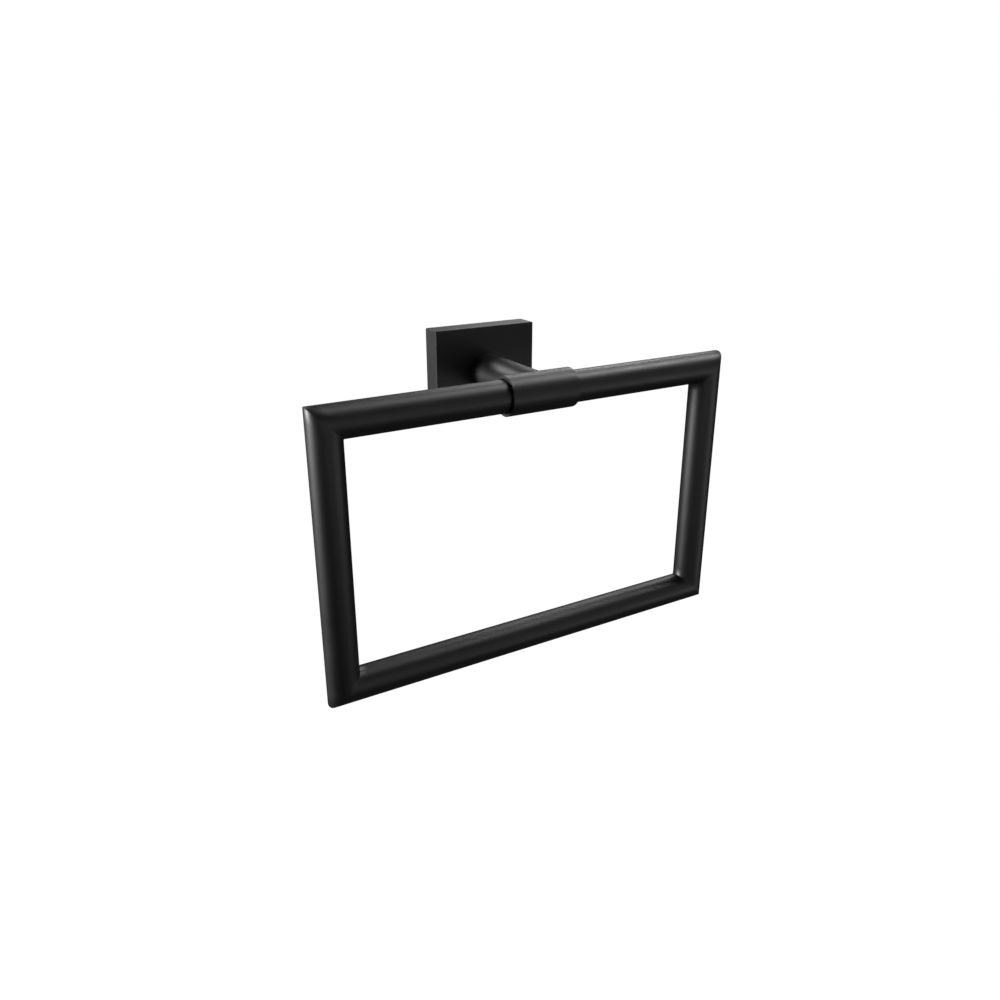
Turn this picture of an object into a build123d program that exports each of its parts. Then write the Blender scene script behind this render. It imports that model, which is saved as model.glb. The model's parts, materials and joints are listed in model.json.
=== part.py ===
from build123d import *
import os

# Rectangular towel ring on a wall plate, in millimetres.
# The finished part has X along the wall, +Y into the wall and +Z up. Its origin is on the wall,
# behind the middle of the cover plate and in line with the post.

# Ring of round tube, mitred at its four corners
ring_width = 200.0            # outside, left to right
ring_height = 127.5           # outside, top to bottom
bar_diameter = 14.0
bar_wall = 1.5

# Sleeve that the ring's top bar passes through
sleeve_length = 32.5
sleeve_wall = 1.4
sleeve_clearance = 0.1        # between the bar and the bore, all round
sleeve_edge = 0.2             # chamfer of the outer end edges
sleeve_mouth = 0.25           # chamfer of the bore at both ends

# Post between cover plate and sleeve
post_diameter = 16.6
post_reach = 53.6             # from the wall to the axis of the ring's top bar
saddle_clearance = 0.05       # between the post's saddle and the sleeve
spigot_diameter = 11.0        # the post's keyed tail, let into the cover plate
spigot_flats = 9.0            # across the two flats that stop the post from turning
spigot_length = 1.5
spigot_clearance = 0.1        # all round the tail

# Cover plate, a cast shell that is open towards the wall
plate_width = 50.0
plate_height = 40.6
plate_depth = 10.0
plate_side_wall = 2.5
plate_front_wall = 3.5
plate_corner = 0.6            # rounding of the four corner edges
plate_edge = 0.25             # rounding of the front edges
cavity_corner = 2.0           # inner corner radius

# Wall bracket, a block with undercut top and bottom edges
bracket_side_gap = 3.5        # from the block's ends to the cavity walls
bracket_hook_gap = 3.8        # from its top and bottom edges to the cavity walls
bracket_front_gap = 2.0       # from its face to the cavity floor
bracket_undercut = 1.3        # how far the edges lean in towards the wall
bracket_corner = 1.5
wall_screw_hole = 4.5
wall_screw_head = 8.0         # outer diameter of the countersink
wall_screw_edge = 6.5         # from the hole's axis to the block's end

# Hook rib and set-screw boss inside the cover plate
hook_width = 24.0
hook_back_gap = 0.6           # rib and boss stop short of the wall by this much
boss_wall = 2.0               # metal on each side of the set screw
boss_top_gap = 0.6            # between the boss and the bracket

# Set screw in the underside of the cover plate
set_screw_diameter = 4.0
set_screw_point = 2.4         # diameter of its flat point
set_screw_socket = 2.0        # across the flats of the hexagon socket
set_screw_socket_depth = 2.0
set_screw_recess = 0.4        # how far its lower end stays inside the plate
set_screw_forward = 0.6       # from the middle of the bracket's edge towards the front

# Tie screw with its washer, and the plug that it threads into
tie_screw_diameter = 5.0
tie_screw_head = 8.5
tie_screw_head_height = 3.5
tie_screw_socket = 3.0        # across the flats of the hexagon socket
tie_screw_socket_depth = 2.1
tie_screw_past_axis = 2.4     # how far its tip passes the axis of the bar
tie_screw_tip = 0.6           # chamfer of the tip
tie_hole_clearance = 0.25     # round the shank, in every plain hole
washer_diameter = 10.0
washer_thickness = 1.0
washer_room = 0.75            # between the washer and the bracket's middle hole
plug_length = 24.0
plug_clearance = 0.1          # between the plug and the bore of the bar
thread_clearance = 0.05       # all round a screw in its thread
tapped_room = 1.0             # hole left beyond the tip

# Values that follow from the sizes above
bar_radius = bar_diameter / 2
bar_bore_radius = bar_radius - bar_wall
top_run = ring_width - bar_diameter
side_run = ring_height - bar_diameter
sleeve_bore_radius = bar_radius + sleeve_clearance
sleeve_radius = sleeve_bore_radius + sleeve_wall
plug_radius = bar_bore_radius - plug_clearance
cavity_width = plate_width - 2 * plate_side_wall
cavity_height = plate_height - 2 * plate_side_wall
cavity_depth = plate_depth - plate_front_wall
bracket_width = cavity_width - 2 * bracket_side_gap
bracket_half = cavity_height / 2 - bracket_hook_gap
bracket_depth = cavity_depth - bracket_front_gap
bracket_hole_radius = washer_diameter / 2 + washer_room
wall_screw_offset = bracket_width / 2 - wall_screw_edge
washer_back = cavity_depth - washer_thickness
tie_hole_radius = tie_screw_diameter / 2 + tie_hole_clearance
set_screw_height = bracket_depth / 2 + set_screw_forward
set_screw_hole_radius = set_screw_diameter / 2 + thread_clearance

# Every piece is drawn as if the part lay on its back: x to the right, y up the wall, z off the wall.
WALL = Plane(origin=(0, 0, 0), x_dir=(1, 0, 0), z_dir=(0, -1, 0))
ON_WALL = (Align.CENTER, Align.CENTER, Align.MIN)
ALONG_X = Rot(0, 90, 0)
ALONG_Y = Rot(-90, 0, 0)


def bar_of(radius, start, end):
    """Round bar that stands off the wall, from one height to another."""
    return Pos(0, 0, start) * Cylinder(radius, end - start, align=ON_WALL)


def hexagon_bar(across_flats, height):
    """Hexagonal prism on the plane z = 0, the shape of a hexagon socket."""
    return extrude(RegularPolygon(across_flats / 2, 6, major_radius=False), height)


def bracket_edge(height):
    """Half-height of the wall bracket at a height off the wall; its edges lean in towards the wall."""
    return bracket_half - bracket_undercut * (1 - height / bracket_depth)


def double_d(diameter, flats, height):
    """Round stub with two flats."""
    return Cylinder(diameter / 2, height, align=ON_WALL) & Box(diameter, flats, height, align=ON_WALL)


def make_cover_plate():
    """Cast shell with a keyed seat for the post, a hook rib above and a boss for the set screw below."""
    shell = Box(plate_width, plate_height, plate_depth, align=ON_WALL)
    shell = fillet(shell.edges().filter_by(Axis.Z), plate_corner)
    shell = fillet(shell.edges().group_by(Axis.Z)[-1], plate_edge)
    cavity = Box(cavity_width, cavity_height, cavity_depth, align=ON_WALL)
    shell -= fillet(cavity.edges().filter_by(Axis.Z), cavity_corner)

    hook_outline = Polygon(
        (cavity_height / 2, hook_back_gap),
        (bracket_edge(hook_back_gap), hook_back_gap),
        (bracket_half, bracket_depth),
        (bracket_half, cavity_depth),
        (cavity_height / 2, cavity_depth),
        align=None,
    )
    shell += extrude(Plane.YZ * hook_outline, hook_width / 2, both=True)

    boss_width = set_screw_diameter + 2 * boss_wall
    boss_top = -bracket_half - boss_top_gap
    boss = Box(boss_width, boss_top + cavity_height / 2, cavity_depth - hook_back_gap, align=ON_WALL)
    shell += Pos(0, (boss_top - cavity_height / 2) / 2, hook_back_gap) * boss
    set_screw_hole = ALONG_Y * Cylinder(set_screw_hole_radius, plate_height / 2, align=ON_WALL)
    shell -= Pos(0, -plate_height / 2, set_screw_height) * set_screw_hole

    seat_depth = spigot_length + spigot_clearance
    seat = double_d(spigot_diameter + 2 * spigot_clearance, spigot_flats + 2 * spigot_clearance, seat_depth)
    shell -= Pos(0, 0, plate_depth - seat_depth) * seat
    return shell - bar_of(tie_hole_radius, 0, plate_depth)


def make_wall_bracket():
    """Block with undercut edges, two countersunk wall-screw holes and room for the tie screw's head."""
    outline = Polygon(
        (-bracket_edge(0), 0),
        (bracket_edge(0), 0),
        (bracket_half, bracket_depth),
        (-bracket_half, bracket_depth),
        align=None,
    )
    block = extrude(Plane.YZ * outline, bracket_width / 2, both=True)
    block = fillet(block.edges().group_by(Axis.Z)[1], bracket_corner)
    block -= bar_of(bracket_hole_radius, 0, bracket_depth)
    hole = bar_of(wall_screw_hole / 2, 0, bracket_depth)
    sink_depth = (wall_screw_head - wall_screw_hole) / 2
    sink = Cone(wall_screw_hole / 2, wall_screw_head / 2, sink_depth, align=ON_WALL)
    for side in (-1, 1):
        block -= Pos(side * wall_screw_offset, 0, 0) * hole
        block -= Pos(side * wall_screw_offset, 0, bracket_depth - sink_depth) * sink
    return block


def make_cover_set_screw():
    """Grub screw whose flat point bears on the bracket's lower undercut."""
    low = -plate_height / 2 + set_screw_recess
    high = -bracket_edge(set_screw_height + set_screw_point / 2) - thread_clearance
    radius = set_screw_diameter / 2
    taper = radius - set_screw_point / 2
    screw = Cylinder(radius, high - low, align=ON_WALL)
    screw = chamfer(screw.edges().sort_by(Axis.Z)[-1], taper)
    screw -= hexagon_bar(set_screw_socket, set_screw_socket_depth)
    return Pos(0, low, set_screw_height) * ALONG_Y * screw


def make_post():
    """Turned post with a keyed tail, a bore for the tie screw and a saddle for the sleeve."""
    post = bar_of(post_diameter / 2, plate_depth, post_reach)
    post += Pos(0, 0, plate_depth - spigot_length) * double_d(spigot_diameter, spigot_flats, spigot_length)
    post -= bar_of(tie_hole_radius, 0, post_reach)
    saddle = ALONG_X * Cylinder(sleeve_radius + saddle_clearance, 2 * post_diameter)
    return post - Pos(0, 0, post_reach) * saddle


def make_sleeve():
    """Short tube with chamfered ends and one hole at the back for the tie screw."""
    section = Pos(0, (sleeve_bore_radius + sleeve_radius) / 2) * Rectangle(sleeve_length, sleeve_wall)
    section = chamfer(section.vertices().group_by(Axis.Y)[-1], sleeve_edge)
    section = chamfer(section.vertices().group_by(Axis.Y)[0], sleeve_mouth)
    tube = Pos(0, 0, post_reach) * revolve(section, Axis.X)
    return tube - bar_of(tie_hole_radius, 0, post_reach)


def make_tie_screw():
    """Long screw with a low socket head, from inside the cover plate to past the ring's top bar axis."""
    head_back = washer_back - tie_screw_head_height
    head = bar_of(tie_screw_head / 2, head_back, washer_back)
    head -= Pos(0, 0, head_back) * hexagon_bar(tie_screw_socket, tie_screw_socket_depth)
    shank = bar_of(tie_screw_diameter / 2, washer_back, post_reach + tie_screw_past_axis)
    return head + chamfer(shank.edges().sort_by(Axis.Z)[-1], tie_screw_tip)


def make_tie_washer():
    """Flat washer between the tie screw's head and the cover plate."""
    return bar_of(washer_diameter / 2, washer_back, cavity_depth) - bar_of(tie_hole_radius, 0, cavity_depth)


def make_bar_plug():
    """Solid plug inside the top bar, with a blind tapped hole from the back."""
    plug = Pos(0, 0, post_reach) * ALONG_X * Cylinder(plug_radius, plug_length)
    tapped_end = post_reach + tie_screw_past_axis + tapped_room
    return plug - bar_of(tie_screw_diameter / 2 + thread_clearance, 0, tapped_end)


def mitred_tube(run):
    """Tube along X with both ends cut at 45 degrees, its long side up; run is its length at the axis."""
    blank = Cylinder(bar_radius, run + bar_diameter) - Cylinder(bar_bore_radius, run + bar_diameter)
    tube = ALONG_X * blank
    for side in (-1, 1):
        mitre = Plane(origin=(side * run / 2, 0, 0), z_dir=(side, -1, 0))
        tube = split(tube, bisect_by=mitre, keep=Keep.BOTTOM)
    return tube


def make_ring():
    """The ring's four tubes; only the top one has a hole, for the tie screw."""
    top = Pos(0, 0, post_reach) * mitred_tube(top_run) - bar_of(tie_hole_radius, 0, post_reach)
    side = Pos(0, -side_run / 2, post_reach) * Rot(0, 0, 90) * mitred_tube(side_run)
    return {
        "ring_top_bar": top,
        "ring_left_bar": Pos(-top_run / 2, 0, 0) * side,
        "ring_right_bar": mirror(Pos(-top_run / 2, 0, 0) * side, about=Plane.YZ),
        "ring_bottom_bar": Pos(0, -side_run, post_reach) * Rot(0, 0, 180) * mitred_tube(top_run),
    }


pieces = {
    "cover_plate": make_cover_plate(),
    "wall_bracket": make_wall_bracket(),
    "cover_set_screw": make_cover_set_screw(),
    "post": make_post(),
    "sleeve": make_sleeve(),
    "tie_screw": make_tie_screw(),
    "tie_washer": make_tie_washer(),
    "bar_plug": make_bar_plug(),
    **make_ring(),
}

os.makedirs("parts", exist_ok=True)
for name, piece in pieces.items():
    export_step(WALL * piece, f"parts/{name}.step")
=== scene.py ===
import json
import math
import bpy
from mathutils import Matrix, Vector


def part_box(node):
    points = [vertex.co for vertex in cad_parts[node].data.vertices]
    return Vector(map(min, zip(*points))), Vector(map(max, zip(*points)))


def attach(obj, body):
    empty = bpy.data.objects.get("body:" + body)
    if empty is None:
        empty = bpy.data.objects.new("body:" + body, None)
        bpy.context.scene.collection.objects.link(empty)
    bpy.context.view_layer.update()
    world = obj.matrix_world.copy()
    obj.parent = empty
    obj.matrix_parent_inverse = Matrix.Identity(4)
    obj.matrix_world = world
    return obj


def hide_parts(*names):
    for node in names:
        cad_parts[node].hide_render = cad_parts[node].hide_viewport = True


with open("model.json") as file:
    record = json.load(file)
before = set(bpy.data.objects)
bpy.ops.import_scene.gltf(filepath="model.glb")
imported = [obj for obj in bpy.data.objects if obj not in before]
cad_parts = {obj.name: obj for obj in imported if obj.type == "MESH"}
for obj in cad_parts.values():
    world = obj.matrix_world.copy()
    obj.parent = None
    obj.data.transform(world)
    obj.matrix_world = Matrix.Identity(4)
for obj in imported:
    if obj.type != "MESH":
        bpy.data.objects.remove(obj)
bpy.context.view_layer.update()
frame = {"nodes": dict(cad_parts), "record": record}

# Camera at the photo's viewing angle
CAMERA_PLACE = (-0.189964, -0.347925, 0.088797)
CAMERA_LEVEL = 90.0
CAMERA_PITCH_DOWN = 21.436
CAMERA_TURN_RIGHT = 30.293
SENSOR_WIDTH = 36.0
LENS = 30.938
CLIP_START = 0.01

# Round pieces of the ring and the sleeve
TUBE_SIDES = 96

# Dressed mitres outside and inside the bend: length of the edge, set-back of its tip, length of the blend
MITRE_OUTSIDE = (0.00025, 0.0000875, 0.0055)
MITRE_INSIDE = (0.0002, 0.00009, 0.0036)

# Sleeve: room round the bar, rounded rim, broken edge of the bore, and flats beside the rim
SLEEVE_CLEARANCE = 0.0001
SLEEVE_RIM = 0.0003
SLEEVE_MOUTH = 0.00025
SLEEVE_LEAD = 0.0001
RIM_STEPS = 6
SHARP_ANGLE = math.radians(30.0)

# Grain shared by all finishes
GRAIN_DETAIL = 2.0
GRAIN_SHARE = 0.5
CLOUD_DETAIL = 3.0
CLOUD_SHARE = 0.5
CLOUD_LOW = 0.3
CLOUD_HIGH = 0.7

# Places of the colour sockets on a Mix node
MIX_FACTOR = 0
MIX_LOW = 6
MIX_HIGH = 7
MIX_RESULT = 2

# Finishes by material slot
FINISH_VALUES = {
    "black_powder_coat": {
        "grain_scale": 1400.0,
        "cloud_scale": 70.0,
        "low_colour": (0.0035, 0.0035, 0.0037, 1.0),
        "high_colour": (0.0055, 0.0055, 0.0057, 1.0),
        "low_roughness": 0.42,
        "high_roughness": 0.48,
        "relief_strength": 0.08,
        "relief_depth": 0.00005,
        "metallic": 0.0,
    },
    "plated_steel": {
        "grain_scale": 1600.0,
        "cloud_scale": 420.0,
        "low_colour": (0.56, 0.57, 0.58, 1.0),
        "high_colour": (0.70, 0.71, 0.71, 1.0),
        "low_roughness": 0.54,
        "high_roughness": 0.62,
        "relief_strength": 0.12,
        "relief_depth": 0.00004,
        "metallic": 1.0,
    },
    "turned_brass": {
        "grain_scale": 900.0,
        "cloud_scale": 90.0,
        "low_colour": (0.62, 0.44, 0.18, 1.0),
        "high_colour": (0.76, 0.58, 0.28, 1.0),
        "low_roughness": 0.20,
        "high_roughness": 0.34,
        "relief_strength": 0.10,
        "relief_depth": 0.00004,
        "metallic": 1.0,
    },
    "blackened_steel": {
        "grain_scale": 1200.0,
        "cloud_scale": 150.0,
        "low_colour": (0.05, 0.05, 0.055, 1.0),
        "high_colour": (0.10, 0.10, 0.105, 1.0),
        "low_roughness": 0.34,
        "high_roughness": 0.50,
        "relief_strength": 0.12,
        "relief_depth": 0.00004,
        "metallic": 1.0,
    },
}

# Floor, so far below that it throws little light back up under the black bars
FLOOR_DROP = 10.0
FLOOR_REACH = 40.0
FLOOR_PAINT = (0.8, 0.8, 0.8, 1.0)
FLOOR_ROUGHNESS = 0.9

# Softboxes: name, azimuth to the right, elevation, width and height in degrees, distance, radiance
FAR = 2.5
NEAR = 0.6
SOFTBOXES = [
    ("left_softbox", -112.0, 1.0, 16.0, 14.0, FAR, 66.5),
    ("left_edge_fill", -90.0, -10.0, 16.0, 16.0, FAR, 3.8),
    ("back_left_softbox", -159.0, 39.0, 20.0, 16.0, FAR, 11.3),
    ("back_right_softbox", 135.0, 34.0, 16.0, 14.0, FAR, 7.8),
    ("back_right_low_fill", 148.0, 23.0, 12.0, 12.0, FAR, 2.4),
    ("top_right_softbox", 88.0, 49.0, 16.0, 20.0, FAR, 15.0),
    ("top_fill", 100.0, 70.0, 30.0, 16.0, FAR, 2.8),
    ("front_fill", 20.0, 0.0, 90.0, 60.0, NEAR, 0.34),
    ("front_right_fill", 48.0, -18.0, 36.0, 16.0, FAR, 1.0),
    ("front_left_fill", -22.0, 0.0, 56.0, 16.0, NEAR, 0.63),
]
OBJECT_MIDDLE = Vector((0.0, -0.045, -0.045))

# Room round the object, dim for its reflections and white to the camera
ROOM_LIGHT = 0.02
ROOM_WHITE = 1.0
WHITE = (1.0, 1.0, 1.0, 1.0)


def new_group(name, inputs, outputs):
    """A shader node group with named number and colour sockets."""
    group = bpy.data.node_groups.new(name, "ShaderNodeTree")
    for socket_name, kind in inputs:
        group.interface.new_socket(socket_name, in_out="INPUT", socket_type=kind)
    for socket_name, kind in outputs:
        group.interface.new_socket(socket_name, in_out="OUTPUT", socket_type=kind)
    return group


def make_fine_grain():
    """Fine mottling of colour and gloss with a shallow grain, placed by real size."""
    group = new_group(
        "fine_grain",
        [
            ("Grain Scale", "NodeSocketFloat"),
            ("Cloud Scale", "NodeSocketFloat"),
            ("Low Colour", "NodeSocketColor"),
            ("High Colour", "NodeSocketColor"),
            ("Low Roughness", "NodeSocketFloat"),
            ("High Roughness", "NodeSocketFloat"),
        ],
        [
            ("Colour", "NodeSocketColor"),
            ("Roughness", "NodeSocketFloat"),
            ("Height", "NodeSocketFloat"),
        ],
    )
    nodes = group.nodes
    links = group.links
    inside = nodes.new("NodeGroupInput")
    outside = nodes.new("NodeGroupOutput")
    place = nodes.new("ShaderNodeTexCoord")

    grain = nodes.new("ShaderNodeTexNoise")
    grain.inputs["Detail"].default_value = GRAIN_DETAIL
    links.new(place.outputs["Object"], grain.inputs["Vector"])
    links.new(inside.outputs["Grain Scale"], grain.inputs["Scale"])

    cloud = nodes.new("ShaderNodeTexNoise")
    cloud.inputs["Detail"].default_value = CLOUD_DETAIL
    links.new(place.outputs["Object"], cloud.inputs["Vector"])
    links.new(inside.outputs["Cloud Scale"], cloud.inputs["Scale"])

    cloud_part = nodes.new("ShaderNodeMath")
    cloud_part.operation = "MULTIPLY"
    cloud_part.inputs[1].default_value = CLOUD_SHARE
    links.new(cloud.outputs["Fac"], cloud_part.inputs[0])

    mottling = nodes.new("ShaderNodeMath")
    mottling.operation = "MULTIPLY_ADD"
    mottling.inputs[1].default_value = GRAIN_SHARE
    links.new(grain.outputs["Fac"], mottling.inputs[0])
    links.new(cloud_part.outputs["Value"], mottling.inputs[2])

    colour = nodes.new("ShaderNodeMix")
    colour.data_type = "RGBA"
    links.new(mottling.outputs["Value"], colour.inputs[MIX_FACTOR])
    links.new(inside.outputs["Low Colour"], colour.inputs[MIX_LOW])
    links.new(inside.outputs["High Colour"], colour.inputs[MIX_HIGH])
    links.new(colour.outputs[MIX_RESULT], outside.inputs["Colour"])

    gloss = nodes.new("ShaderNodeMapRange")
    gloss.inputs["From Min"].default_value = CLOUD_LOW
    gloss.inputs["From Max"].default_value = CLOUD_HIGH
    links.new(cloud.outputs["Fac"], gloss.inputs["Value"])
    links.new(inside.outputs["Low Roughness"], gloss.inputs["To Min"])
    links.new(inside.outputs["High Roughness"], gloss.inputs["To Max"])
    links.new(gloss.outputs["Result"], outside.inputs["Roughness"])

    links.new(grain.outputs["Fac"], outside.inputs["Height"])
    return group


def make_finish(name, fine_grain, values):
    """A finish made from the shared grain with its own values."""
    material = bpy.data.materials.new(name)
    material.use_nodes = True
    nodes = material.node_tree.nodes
    links = material.node_tree.links
    shader = nodes["Principled BSDF"]
    shader.inputs["Metallic"].default_value = values["metallic"]

    surface = nodes.new("ShaderNodeGroup")
    surface.node_tree = fine_grain
    surface.inputs["Grain Scale"].default_value = values["grain_scale"]
    surface.inputs["Cloud Scale"].default_value = values["cloud_scale"]
    surface.inputs["Low Colour"].default_value = values["low_colour"]
    surface.inputs["High Colour"].default_value = values["high_colour"]
    surface.inputs["Low Roughness"].default_value = values["low_roughness"]
    surface.inputs["High Roughness"].default_value = values["high_roughness"]
    links.new(surface.outputs["Colour"], shader.inputs["Base Color"])
    links.new(surface.outputs["Roughness"], shader.inputs["Roughness"])

    relief = nodes.new("ShaderNodeBump")
    relief.inputs["Strength"].default_value = values["relief_strength"]
    relief.inputs["Distance"].default_value = values["relief_depth"]
    links.new(surface.outputs["Height"], relief.inputs["Height"])
    links.new(relief.outputs["Normal"], shader.inputs["Normal"])
    return material


def make_finishes():
    """All finishes by material slot, round one shared grain."""
    fine_grain = make_fine_grain()
    return {slot: make_finish(slot, fine_grain, values) for slot, values in FINISH_VALUES.items()}


def mesh_object(name, points, faces, smooth=True):
    """An object from points and faces."""
    mesh = bpy.data.meshes.new(name)
    mesh.from_pydata(points, [], faces)
    mesh.validate()
    for polygon in mesh.polygons:
        polygon.use_smooth = smooth
    made = bpy.data.objects.new(name, mesh)
    bpy.context.scene.collection.objects.link(made)
    return made


def loop_faces(lines, count):
    """Faces between neighbouring lines of count points each, closed both ways."""
    faces = []
    for line in range(lines):
        beside = (line + 1) % lines
        for place in range(count):
            following = (place + 1) % count
            faces.append((
                line * count + place,
                beside * count + place,
                beside * count + following,
                line * count + following,
            ))
    return faces


def ring_stations(half_width, top, bottom, edge, tip, blend):
    """Corner points of one lengthwise line of the ring, with the points that lead into and out of them."""
    corners = [
        Vector((-half_width, 0.0, top)),
        Vector((half_width, 0.0, top)),
        Vector((half_width, 0.0, bottom)),
        Vector((-half_width, 0.0, bottom)),
    ]
    runs = [(after - before).normalized() for before, after in zip(corners, corners[1:] + corners[:1])]
    stations = []
    for corner, arriving, leaving in zip(corners, runs[-1:] + runs[:-1], runs):
        stations.append(corner - blend * arriving)
        stations.append(corner - edge * arriving)
        stations.append(corner + tip * (leaving - arriving))
        stations.append(corner + edge * leaving)
        stations.append(corner + blend * leaving)
    return stations


def make_ring_frame(coat):
    """One welded skin round the four mitred tubes, with the mitres dressed smooth."""
    top_low, top_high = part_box("ring_top_bar")
    bottom_low, bottom_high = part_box("ring_bottom_bar")
    left_low, left_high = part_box("ring_left_bar")
    radius = (top_high.z - top_low.z) / 2.0
    half_width = (top_high.x - top_low.x) / 2.0 - radius
    top = (top_low.z + top_high.z) / 2.0
    bottom = (bottom_low.z + bottom_high.z) / 2.0
    depth = (left_low.y + left_high.y) / 2.0
    points = []
    for side in range(TUBE_SIDES):
        angle = 2.0 * math.pi * side / TUBE_SIDES
        outward = radius * math.cos(angle)
        forward = radius * math.sin(angle)
        outside = (1.0 + math.cos(angle)) / 2.0
        mitre = [inner + outside * (outer - inner) for inner, outer in zip(MITRE_INSIDE, MITRE_OUTSIDE)]
        for station in ring_stations(half_width + outward, top + outward, bottom - outward, *mitre):
            points.append((station.x, depth - forward, station.z))
    ring = mesh_object("ring_frame", points, loop_faces(TUBE_SIDES, len(points) // TUBE_SIDES))
    ring.data.materials.append(coat)
    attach(ring, "root")
    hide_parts("ring_top_bar", "ring_left_bar", "ring_right_bar", "ring_bottom_bar")


def sleeve_end(outer, bore, half_length):
    """Half of the sleeve's wall in section, from barrel to bore, as places along the bar and radii."""
    section = [(half_length - SLEEVE_RIM - SLEEVE_LEAD, outer)]
    for step in range(RIM_STEPS + 1):
        angle = math.pi / 2.0 * step / RIM_STEPS
        section.append((
            half_length - SLEEVE_RIM + SLEEVE_RIM * math.sin(angle),
            outer - SLEEVE_RIM + SLEEVE_RIM * math.cos(angle),
        ))
    section.append((half_length, outer - SLEEVE_RIM - SLEEVE_LEAD))
    section.append((half_length, bore + SLEEVE_MOUTH))
    section.append((half_length - SLEEVE_MOUTH, bore))
    return section


def make_sleeve_skin(coat):
    """The sleeve with turned, rounded rims and a broken edge round the mouth of its bore."""
    low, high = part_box("sleeve")
    bar_low, bar_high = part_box("ring_top_bar")
    middle = (low + high) / 2.0
    outer = (high.z - low.z) / 2.0
    bore = (bar_high.z - bar_low.z) / 2.0 + SLEEVE_CLEARANCE
    half = sleeve_end(outer, bore, (high.x - low.x) / 2.0)
    section = half + [(-along, radius) for along, radius in reversed(half)]
    points = []
    for side in range(TUBE_SIDES):
        angle = 2.0 * math.pi * side / TUBE_SIDES
        for along, radius in section:
            points.append((
                middle.x + along,
                middle.y - radius * math.sin(angle),
                middle.z + radius * math.cos(angle),
            ))
    sleeve = mesh_object("sleeve_skin", points, loop_faces(TUBE_SIDES, len(section)))
    sleeve.data.set_sharp_from_angle(angle=SHARP_ANGLE)
    sleeve.data.materials.append(coat)
    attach(sleeve, "root")
    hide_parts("sleeve")


def dress_nodes(finishes):
    """Gives each CAD node the finish of its slot."""
    for row in frame["record"]["subparts"]:
        node = frame["nodes"][row["node"]]
        node.data.materials.clear()
        node.data.materials.append(finishes[row["material_slot"]])


def make_floor():
    """A plain pale floor that the camera sees as white."""
    height = OBJECT_MIDDLE.z - FLOOR_DROP
    points = [
        (-FLOOR_REACH, -FLOOR_REACH, height),
        (FLOOR_REACH, -FLOOR_REACH, height),
        (FLOOR_REACH, FLOOR_REACH, height),
        (-FLOOR_REACH, FLOOR_REACH, height),
    ]
    floor = mesh_object("floor", points, [(0, 1, 2, 3)], smooth=False)
    material = bpy.data.materials.new("pale_floor")
    material.use_nodes = True
    nodes = material.node_tree.nodes
    links = material.node_tree.links
    shader = nodes["Principled BSDF"]
    shader.inputs["Base Color"].default_value = FLOOR_PAINT
    shader.inputs["Roughness"].default_value = FLOOR_ROUGHNESS
    shader.inputs["Emission Color"].default_value = WHITE
    path = nodes.new("ShaderNodeLightPath")
    links.new(path.outputs["Is Camera Ray"], shader.inputs["Emission Strength"])
    floor.data.materials.append(material)


def make_world():
    """White to the camera and a dim even light for everything else."""
    world = bpy.data.worlds.new("studio")
    bpy.context.scene.world = world
    world.use_nodes = True
    nodes = world.node_tree.nodes
    links = world.node_tree.links
    sky = nodes["Background"]
    sky.inputs["Color"].default_value = WHITE
    path = nodes.new("ShaderNodeLightPath")
    level = nodes.new("ShaderNodeMapRange")
    level.inputs["To Min"].default_value = ROOM_LIGHT
    level.inputs["To Max"].default_value = ROOM_WHITE
    links.new(path.outputs["Is Camera Ray"], level.inputs["Value"])
    links.new(level.outputs["Result"], sky.inputs["Strength"])


def add_softbox(name, azimuth, elevation, wide, high, distance, radiance):
    """A rectangular lamp that faces the object and that the camera doesn't see."""
    turn = math.radians(azimuth)
    rise = math.radians(elevation)
    towards = Vector((
        math.sin(turn) * math.cos(rise),
        -math.cos(turn) * math.cos(rise),
        math.sin(rise),
    ))
    width = 2.0 * distance * math.tan(math.radians(wide / 2.0))
    height = 2.0 * distance * math.tan(math.radians(high / 2.0))
    data = bpy.data.lights.new(name, "AREA")
    data.shape = "RECTANGLE"
    data.size = width
    data.size_y = height
    data.energy = radiance * math.pi * width * height
    lamp = bpy.data.objects.new(name, data)
    bpy.context.scene.collection.objects.link(lamp)
    lamp.location = OBJECT_MIDDLE + distance * towards
    lamp.rotation_euler = towards.to_track_quat("Z", "Y").to_euler()
    lamp.visible_camera = False


def add_camera():
    """The photo's view of the object."""
    data = bpy.data.cameras.new("photo_camera")
    data.sensor_width = SENSOR_WIDTH
    data.lens = LENS
    data.clip_start = CLIP_START
    camera = bpy.data.objects.new("photo_camera", data)
    bpy.context.scene.collection.objects.link(camera)
    pitch = math.radians(CAMERA_LEVEL - CAMERA_PITCH_DOWN)
    turn = math.radians(-CAMERA_TURN_RIGHT)
    camera.location = CAMERA_PLACE
    camera.rotation_euler = (pitch, 0.0, turn)
    bpy.context.scene.camera = camera


finishes = make_finishes()
dress_nodes(finishes)
make_ring_frame(finishes["black_powder_coat"])
make_sleeve_skin(finishes["black_powder_coat"])
make_floor()
make_world()
for softbox in SOFTBOXES:
    add_softbox(*softbox)
add_camera()
bpy.context.scene.view_settings.view_transform = "Standard"
